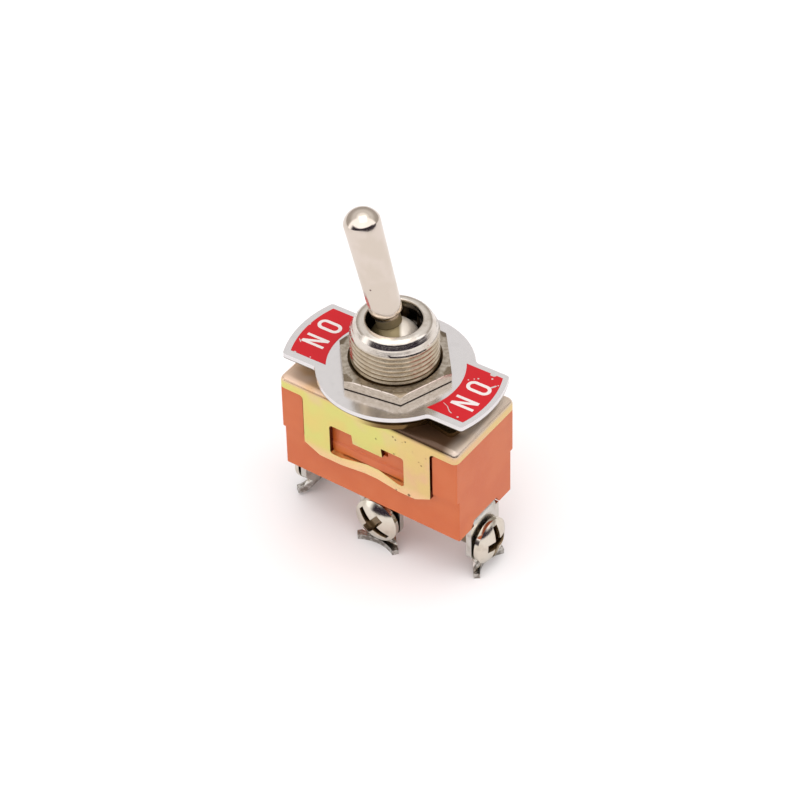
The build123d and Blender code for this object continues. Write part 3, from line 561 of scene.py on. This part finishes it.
def screw_nickel(name):
    """Bright nickel on the head, with painted shade inside the recess."""
    centre = [value * MM for value in SCREW_CENTRES_MM[name]]

    def colour(b):
        x, y, z = b.parts(b.place())
        if name == "centre":
            rise, across = centre[1] - y, x
        else:
            side = 1 if name == "right" else -1
            rise, across = x * side - abs(centre[0]), y
        down = z - centre[2]
        spread = (across * across + down * down) / (SCREW_HEAD_RADIUS_MM * MM) ** 2
        dome = SCREW_HEAD_RISE_MM * MM + (1 - spread) * (SCREW_HEAD_DOME_MM * MM)
        # Painted shade inside the recess.
        recess = (dome - rise).step_mm(RECESS_SHADE_DEPTH_MM) * spread.step(0.86, 0.8)
        metal = b.patches(1.2, tone(222, 214, 200), tone(204, 194, 178), detail=4.0)
        return b.mix(recess, metal, tone(136, 120, 98))

    return finish_of(
        "screw_nickel_" + name,
        base_color=colour,
        metallic=1.0,
        roughness=lambda b: 0.14 + (b.cloud(0.8) - 0.5) * 0.08,
        normal=lambda b: b.bump(b.cloud(0.8, detail=3.0), 0.002),
    )


def terminal_plating():
    """Pale plating, speckled and darker on the feet."""

    def colour(b):
        _, _, z = b.parts(b.place())
        metal = b.patches(1.2, tone(214, 211, 204), tone(188, 182, 172), detail=4.0)
        worn = b.patches(0.5, tone(200, 196, 190), tone(142, 134, 126), 0.42, 0.58, detail=4.0)
        return b.mix(z.step_mm(FEET_MM), metal, worn)

    return finish_of(
        "terminal_plating",
        base_color=colour,
        metallic=1.0,
        roughness=lambda b: 0.24 + (b.cloud(0.8) - 0.5) * 0.1,
        normal=lambda b: b.bump(b.cloud(0.5, detail=3.0), 0.005),
    )


def red_enamel():
    """Red paint, worn through in nicks and scratches on the plate's fields."""

    def bare(b):
        """1 where the metal shows."""
        marks = [b.spot(on_plate(x, y), size) for x, y, size in PAINT_SPOTS_MM]
        for start, end, width in PAINT_SCRATCHES_MM:
            marks.append(b.scratch(on_plate(*start), on_plate(*end), width))
        mask = marks[0]
        for mark in marks[1:]:
            mask = mask.larger(mark)
        return mask

    def colour(b):
        red = b.mix(b.cloud(1.5), tone(192, 10, 24), tone(200, 16, 30))
        return b.mix(bare(b), red, tone(226, 220, 218))

    return finish_of("red_enamel", base_color=colour, metallic=bare, roughness=0.36, ior=1.38)


FINISHES = {
    "case": case_plastic(),
    "chromate": chromate(),
    "bushing": bushing_nickel(),
    "nut": nut_nickel(),
    "lever": lever_nickel(),
    "plate": plate_chrome(),
    "ring": ring_chromate(),
    "washer": plated("washer_nickel", tone(200, 190, 178), tone(176, 164, 150), 0.3, 0.3, 0.01),
    "terminal": terminal_plating(),
    "screw_left": screw_nickel("left"),
    "screw_centre": screw_nickel("centre"),
    "screw_right": screw_nickel("right"),
    "brass": plated("brass", tone(224, 190, 112), tone(206, 170, 94), 0.28),
    "silver": plated("contact_silver", tone(230, 228, 222), tone(212, 208, 200), 0.25),
    "steel": plated("spring_steel", tone(190, 188, 184), tone(170, 168, 164), 0.3),
    "plunger": finish_of("plunger_plastic", base_color=tone(232, 226, 212), roughness=0.45),
    "board": finish_of("pressed_board", base_color=tone(150, 112, 72), roughness=0.7),
    "red": red_enamel(),
    "letters": finish_of("letter_white", base_color=tone(226, 218, 214), roughness=0.4),
}
NODE_FINISHES = {
    "housing": "case",
    "mounting_bracket": "chromate",
    "insulator": "board",
    "pivot_pin": "steel",
    "locating_ring": "ring",
    "lock_washer": "washer",
    "lower_nut": "nut",
    "upper_nut": "nut",
    "indicator_plate": "plate",
    "terminal_left": "terminal",
    "terminal_centre": "terminal",
    "terminal_right": "terminal",
    "screw_left": "screw_left",
    "screw_centre": "screw_centre",
    "screw_right": "screw_right",
    "lever": "lever",
    "plunger": "plunger",
    "plunger_spring": "steel",
    "rocker": "brass",
    "fulcrum": "brass",
    "fixed_contact_left": "silver",
    "fixed_contact_right": "silver",
    "moving_contact_left": "silver",
    "moving_contact_right": "silver",
    "bushing": "bushing",
}


# ---------------------------------------------------------------- geometry node helpers
SMOOTH_BELOW = radians(32)
WELD_BELOW = 1e-6


def geometry_tree(name, **sizes):
    """A geometry tree with a mesh in, a mesh out and one named input for each size."""
    tree = bpy.data.node_groups.new(name, "GeometryNodeTree")
    tree.interface.new_socket("Geometry", in_out="INPUT", socket_type="NodeSocketGeometry")
    for size, value in sizes.items():
        made = tree.interface.new_socket(size, in_out="INPUT", socket_type="NodeSocketFloat")
        made.default_value = value
    tree.interface.new_socket("Geometry", in_out="OUTPUT", socket_type="NodeSocketGeometry")
    bench = Bench(tree)
    given = bench.node("NodeGroupInput")
    return bench, given


def end_tree(bench, geometry, material=None):
    """Realizes what was made, gives it its material and sends it out."""
    geometry = bench.node("GeometryNodeRealizeInstances", None, {0: geometry})
    if material:
        geometry = bench.node("GeometryNodeSetMaterial", None, {0: geometry, "Material": material})
    end = bench.tree.nodes.new("NodeGroupOutput")
    bench.tree.links.new(geometry.socket, end.inputs[0])


def add_tree(obj, tree, **sizes):
    """Puts a geometry tree on a piece, with its sizes set by their identifiers."""
    modifier = obj.modifiers.new(tree.name, "NODES")
    modifier.node_group = tree
    for item in tree.interface.items_tree:
        if item.in_out == "INPUT" and item.name in sizes:
            modifier[item.identifier] = sizes[item.name]


def smoothing_tree():
    """Joins a solid's facets and shades them smooth, up to a named angle between them."""
    bench, given = geometry_tree("smooth_curves", Angle=SMOOTH_BELOW)
    mesh = bench.node("GeometryNodeMergeByDistance", None, {0: given, "Distance": WELD_BELOW})
    mesh = bench.node("GeometryNodeSetShadeSmooth", {"domain": "FACE"}, {0: mesh, 2: True})
    angle = bench.node("GeometryNodeInputMeshEdgeAngle")
    sharp = bench.node(
        "FunctionNodeCompare",
        {"data_type": "FLOAT", "operation": "GREATER_THAN"},
        {0: angle, 1: bench.other(given, "Angle")},
    )
    inputs = {0: mesh, 1: sharp, 2: False}
    mesh = bench.node("GeometryNodeSetShadeSmooth", {"domain": "EDGE"}, inputs)
    end_tree(bench, mesh)
    return bench.tree


def plain_mesh(obj):
    """The piece with its modifiers worked in, as a new mesh."""
    graph = bpy.context.evaluated_depsgraph_get()
    return bpy.data.meshes.new_from_object(obj.evaluated_get(graph))


def add_piece(name, mesh, body, finish):
    """A finished piece at the origin, riding on a body."""
    obj = bpy.data.objects.new(name, mesh)
    bpy.context.scene.collection.objects.link(obj)
    mesh.materials.clear()
    mesh.materials.append(FINISHES[finish])
    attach(obj, body)
    return obj


def dress_nodes():
    """Gives every solid its finish and its smooth curves."""
    smooth = smoothing_tree()
    for node, finish in NODE_FINISHES.items():
        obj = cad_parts[node]
        obj.data.materials.clear()
        obj.data.materials.append(FINISHES[finish])
        add_tree(obj, smooth)


# ---------------------------------------------------------------- thread on the bushing
THREAD_PITCH_MM = 0.75
THREAD_DEPTH_MM = 0.17
GROOVE_MOUTH_MM = 0.69
GROOVE_FLOOR_MM = 0.12
GROOVE_PROUD_MM = 0.05
THREAD_RADIUS_MM = 6.0
THREAD_START_MM = 4.26
THREAD_END_MM = 10.6
STEPS_PER_TURN = 96
# The trapezium's wide side has to point away from the spiral's axis.
PROFILE_TURN = radians(90)


def groove_tree():
    """A helical cutter: a trapezium swept round a rising spiral."""
    bench, given = geometry_tree(
        "thread_groove",
        Pitch=THREAD_PITCH_MM * MM,
        Depth=THREAD_DEPTH_MM * MM,
        Mouth=GROOVE_MOUTH_MM * MM,
        Floor=GROOVE_FLOOR_MM * MM,
        Proud=GROOVE_PROUD_MM * MM,
        Radius=THREAD_RADIUS_MM * MM,
        Start=THREAD_START_MM * MM,
        End=THREAD_END_MM * MM,
    )
    size = {item: bench.other(given, item) for item in ("Pitch", "Depth", "Mouth", "Floor")}
    proud, radius = bench.other(given, "Proud"), bench.other(given, "Radius")
    start, end = bench.other(given, "Start"), bench.other(given, "End")
    height = size["Depth"] + proud
    middle = radius + proud - height / 2
    spiral = bench.node(
        "GeometryNodeCurveSpiral",
        None,
        {
            "Resolution": STEPS_PER_TURN,
            "Rotations": (end - start) / size["Pitch"],
            "Start Radius": middle,
            "End Radius": middle,
            "Height": end - start,
        },
    )
    spiral = bench.node("GeometryNodeSetCurveNormal", {"mode": "Z_UP"}, {0: spiral})
    profile = bench.node(
        "GeometryNodeCurvePrimitiveQuadrilateral",
        {"mode": "TRAPEZOID"},
        {
            "Height": height,
            "Bottom Width": size["Floor"],
            "Top Width": size["Mouth"],
            "Offset": 0.0,
        },
    )
    inputs = {0: profile, "Rotation": (0, 0, PROFILE_TURN)}
    profile = bench.node("GeometryNodeTransform", None, inputs)
    inputs = {"Curve": spiral, "Profile Curve": profile, "Fill Caps": True}
    mesh = bench.node("GeometryNodeCurveToMesh", None, inputs)
    lift = bench.node("ShaderNodeCombineXYZ", None, {2: start})
    mesh = bench.node("GeometryNodeTransform", None, {0: mesh, "Translation": lift})
    end_tree(bench, mesh, FINISHES["bushing"])
    return bench.tree


def threaded_bushing():
    """The bushing with its thread cut, in place of the plain one."""
    blank = bpy.data.objects.new("bushing_blank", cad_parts["bushing"].data.copy())
    bpy.context.scene.collection.objects.link(blank)
    weld = blank.modifiers.new("weld", "WELD")
    weld.merge_threshold = WELD_BELOW
    cutter = bpy.data.objects.new("groove_cutter", bpy.data.meshes.new("groove_cutter"))
    bpy.context.scene.collection.objects.link(cutter)
    add_tree(cutter, groove_tree())
    cut = blank.modifiers.new("cut", "BOOLEAN")
    cut.operation = "DIFFERENCE"
    cut.solver = "EXACT"
    cut.object = cutter
    mesh = plain_mesh(blank)
    for helper in (blank, cutter):
        bpy.data.objects.remove(helper)
    mesh.shade_smooth()
    mesh.set_sharp_from_angle(angle=SMOOTH_BELOW)
    piece = add_piece("threaded_bushing", mesh, "body", "bushing")
    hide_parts("bushing")


# ---------------------------------------------------------------- red fields and their lettering
PRINT_SHIFT_MM = 0.1
FIELD_INNER_MM = 9.36
FIELD_OUTER_MM = 14.42
FIELD_HALF_MM = 5.03
FIELD_SHIFT_MM = 0.12
LETTER_MIDDLE_MM = 11.81
LETTER_O = {"y": 1.82, "length": 3.6, "width": 1.98, "stroke": 0.5}
LETTER_N = {"y": -1.62, "length": 3.45, "width": 1.88, "stroke": 0.45}
N_FOOT_STROKES = 1.1
ARC_STEPS = 24
END_STEPS = 12


def arc_points(radius, start, end, count):
    """Points along an arc about the origin, in degrees."""
    turns = [radians(start + (end - start) * step / count) for step in range(count + 1)]
    return [(radius * cos(turn), radius * sin(turn)) for turn in turns]


def field_outline(side):
    """A ring's sector with straight sides, on the plate's tab."""

    def arc(radius, start, end):
        """Points of a circle about the plate's middle, from one y to another."""
        heights = [start + (end - start) * step / ARC_STEPS for step in range(ARC_STEPS + 1)]
        return [(side * sqrt(radius**2 - y * y), y) for y in heights]

    low, high = FIELD_SHIFT_MM - FIELD_HALF_MM, FIELD_SHIFT_MM + FIELD_HALF_MM
    return arc(FIELD_INNER_MM, low, high) + arc(FIELD_OUTER_MM, high, low)


def slot_outline(x, y, length, width):
    """A slot with round ends, its length along x."""
    radius = width / 2
    reach = length / 2 - radius
    points = []
    for side, start in ((1, -90), (-1, 90)):
        end = arc_points(radius, start, start + 180, END_STEPS)
        points += [(x + side * reach + u, y + v) for u, v in end]
    return points


def letter_n_outline(x, y, length, width, stroke):
    """N with its strokes along x."""
    half, side, foot = length / 2, width / 2, stroke * N_FOOT_STROKES
    slope = length * stroke / (width - foot)
    corners = (
        (-half, side),
        (half, side),
        (half, side - foot),
        (-half + slope, -side + stroke),
        (half, -side + stroke),
        (half, -side),
        (-half, -side),
        (-half, -side + foot),
        (half - slope, side - stroke),
        (-half, side - stroke),
    )
    return [(x + u, y + v) for u, v in corners]


def letter_loops(side):
    """The outlines of O and N on one tab: O's outside, its inside, then N."""
    middle = side * LETTER_MIDDLE_MM
    big, small = LETTER_O, LETTER_N
    inner_length = big["length"] - 2 * big["stroke"]
    inner_width = big["width"] - 2 * big["stroke"]
    return [
        slot_outline(middle, big["y"], big["length"], big["width"]),
        slot_outline(middle, big["y"], inner_length, inner_width),
        letter_n_outline(middle, small["y"], small["length"], small["width"], small["stroke"]),
    ]


def painted(name, loops, finish):
    """A thin layer of paint on top of the plate. A loop inside another one is left bare."""
    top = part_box("indicator_plate")[1][2]
    curve = bpy.data.curves.new(name, "CURVE")
    curve.dimensions = "2D"
    curve.fill_mode = "BOTH"
    curve_rise = PAINT_MM * MM / 2
    curve.extrude = curve_rise
    for loop in loops:
        spline = curve.splines.new("POLY")
        spline.points.add(len(loop) - 1)
        spline.use_cyclic_u = True
        for point, (x, y) in zip(spline.points, loop):
            point.co = ((x + PRINT_SHIFT_MM) * MM, y * MM, 0, 1)
    drawn = bpy.data.objects.new(name + "_outline", curve)
    bpy.context.scene.collection.objects.link(drawn)
    mesh = plain_mesh(drawn)
    bpy.data.objects.remove(drawn)
    lift = Matrix.Translation((0, 0, top + curve_rise))
    mesh.transform(lift @ Matrix.Rotation(PLATE_TURN, 4, "Z"))
    add_piece(name, mesh, "body", finish)


def paint_tab(name, side):
    """One red field, and the two letters that it leaves open."""
    loops = letter_loops(side)
    painted("red_field_" + name, [field_outline(side)] + loops, "red")
    painted("letters_" + name, loops, "letters")


# ---------------------------------------------------------------- floor, light and camera
CAMERA_AZIMUTH = radians(35.94)
CAMERA_ELEVATION = radians(41.95)
CAMERA_ROLL = radians(-1.485)
CAMERA_TARGET_MM = (0.589, 0.0, -2.237)
CAMERA_DISTANCE_MM = 486.01
CAMERA_LENS = 163.67
SENSOR_WIDTH = 36.0
CAMERA_CLIP = (0.01, 10)

FLOOR_SIZE = 1.2
FLOOR_TONE = (0.84, 0.83, 0.83, 1)
FLOOR_TONE_TO_CAMERA = (0.95, 0.93, 0.93, 1)

# The tent, seen from the part. Each pair is where one part of it fades in, on a heading of
# length 1: how far it points towards the camera, to the camera's right, or up.
WHITE = (1, 1, 1, 1)
FRONT_GLOW = (1.55, 1.53, 1.55, 1)
WALL_FOOT_GLOW = (0.5, 0.47, 0.44, 1)
WALL_GLOW = (0.84, 0.82, 0.81, 1)
CEILING_GLOW = (1.3, 1.3, 1.3, 1)
OPENING_GLOW = (0.03, 0.02, 0.035, 1)
WALL_UP = (0.3, 0.68)
CEILING_UP = (0.8, 0.92)
FRONT_AHEAD = (-0.12, 0.08)
OPENING_AHEAD = (0.2, 0.5)
OPENING_UP = (0.44, 0.36)
SIDE_OPENING_ASIDE = (0.2, 0.5)
SIDE_OPENING_AHEAD = (-0.12, 0.12)
SIDE_OPENING_UP = (0.26, 0.12)

SOFTBOX = {"place": (0.06, -0.06, 0.6), "target": (0, 0, 0), "size": 0.4, "power": 0.6}


def lay_floor():
    """A pale floor that keeps the shadow and is white to the camera."""
    bpy.ops.mesh.primitive_plane_add(size=FLOOR_SIZE, location=(0, 0, cad_size[0][2]))
    floor = bpy.context.object
    floor.name = "floor"
    material = bpy.data.materials.new("pale_floor")
    material.use_nodes = True
    bench = Bench(material.node_tree)
    nodes = material.node_tree.nodes
    nodes.remove(nodes["Principled BSDF"])
    camera = bench.node("ShaderNodeLightPath", output="Is Camera Ray")
    colour = bench.mix(camera, FLOOR_TONE, FLOOR_TONE_TO_CAMERA)
    matt = bench.node("ShaderNodeBsdfDiffuse", None, {"Color": colour})
    bench.tree.links.new(matt.socket, nodes["Material Output"].inputs["Surface"])
    floor.data.materials.append(material)


def hang_lamp(name, place, target, size, power):
    """A square soft lamp."""
    lamp = bpy.data.lights.new(name, "AREA")
    lamp.shape = "SQUARE"
    lamp.size = size
    lamp.energy = power
    obj = bpy.data.objects.new(name, lamp)
    bpy.context.scene.collection.objects.link(obj)
    obj.location = place
    aim = Vector(target) - Vector(place)
    obj.rotation_euler = aim.to_track_quat("-Z", "Y").to_euler()


def light_room():
    """A white tent, open low down in front and a little round to the right, greyer behind."""
    world = bpy.data.worlds.new("tent")
    bpy.context.scene.world = world
    world.use_nodes = True
    bench = Bench(world.node_tree)
    nodes = world.node_tree.nodes
    heading = bench.node("ShaderNodeTexCoord", output="Generated")
    x, y, z = bench.parts(heading)
    forward = x * sin(CAMERA_AZIMUTH) - y * cos(CAMERA_AZIMUTH)
    aside = x * cos(CAMERA_AZIMUTH) + y * sin(CAMERA_AZIMUTH)
    wall = bench.mix(z.step(*WALL_UP), WALL_FOOT_GLOW, WALL_GLOW)
    wall = bench.mix(z.step(*CEILING_UP), wall, CEILING_GLOW)
    tent = bench.mix(forward.step(*FRONT_AHEAD), wall, FRONT_GLOW)
    opening = forward.step(*OPENING_AHEAD) * z.step(*OPENING_UP)
    sideways = aside.step(*SIDE_OPENING_ASIDE) * forward.step(*SIDE_OPENING_AHEAD)
    opening = opening.larger(sideways * z.step(*SIDE_OPENING_UP))
    seen = bench.mix(opening, tent, OPENING_GLOW)
    camera = bench.node("ShaderNodeLightPath", output="Is Camera Ray")
    background = nodes["Background"]
    bench.tree.links.new(bench.mix(camera, seen, WHITE).socket, background.inputs["Color"])
    background.inputs["Strength"].default_value = 1.0
    hang_lamp("softbox", **SOFTBOX)


def set_camera():
    """The camera, from its angles about the part."""
    turn, lift = CAMERA_AZIMUTH, CAMERA_ELEVATION
    back = Vector((sin(turn) * cos(lift), -cos(turn) * cos(lift), sin(lift)))
    right = Vector((cos(turn), sin(turn), 0))
    up = back.cross(right)
    across = right * cos(CAMERA_ROLL) + up * sin(CAMERA_ROLL)
    along = up * cos(CAMERA_ROLL) - right * sin(CAMERA_ROLL)
    data = bpy.data.cameras.new("camera")
    data.sensor_width = SENSOR_WIDTH
    data.lens = CAMERA_LENS
    data.clip_start, data.clip_end = CAMERA_CLIP
    obj = bpy.data.objects.new("camera", data)
    bpy.context.scene.collection.objects.link(obj)
    place = (Vector(CAMERA_TARGET_MM) + back * CAMERA_DISTANCE_MM) * MM
    axes = Matrix((across, along, back)).transposed().to_4x4()
    obj.matrix_world = Matrix.Translation(place) @ axes
    bpy.context.scene.camera = obj


dress_nodes()
threaded_bushing()
paint_tab("left", -1)
paint_tab("right", 1)
lay_floor()
light_room()
set_camera()
bpy.context.scene.view_settings.view_transform = "Standard"
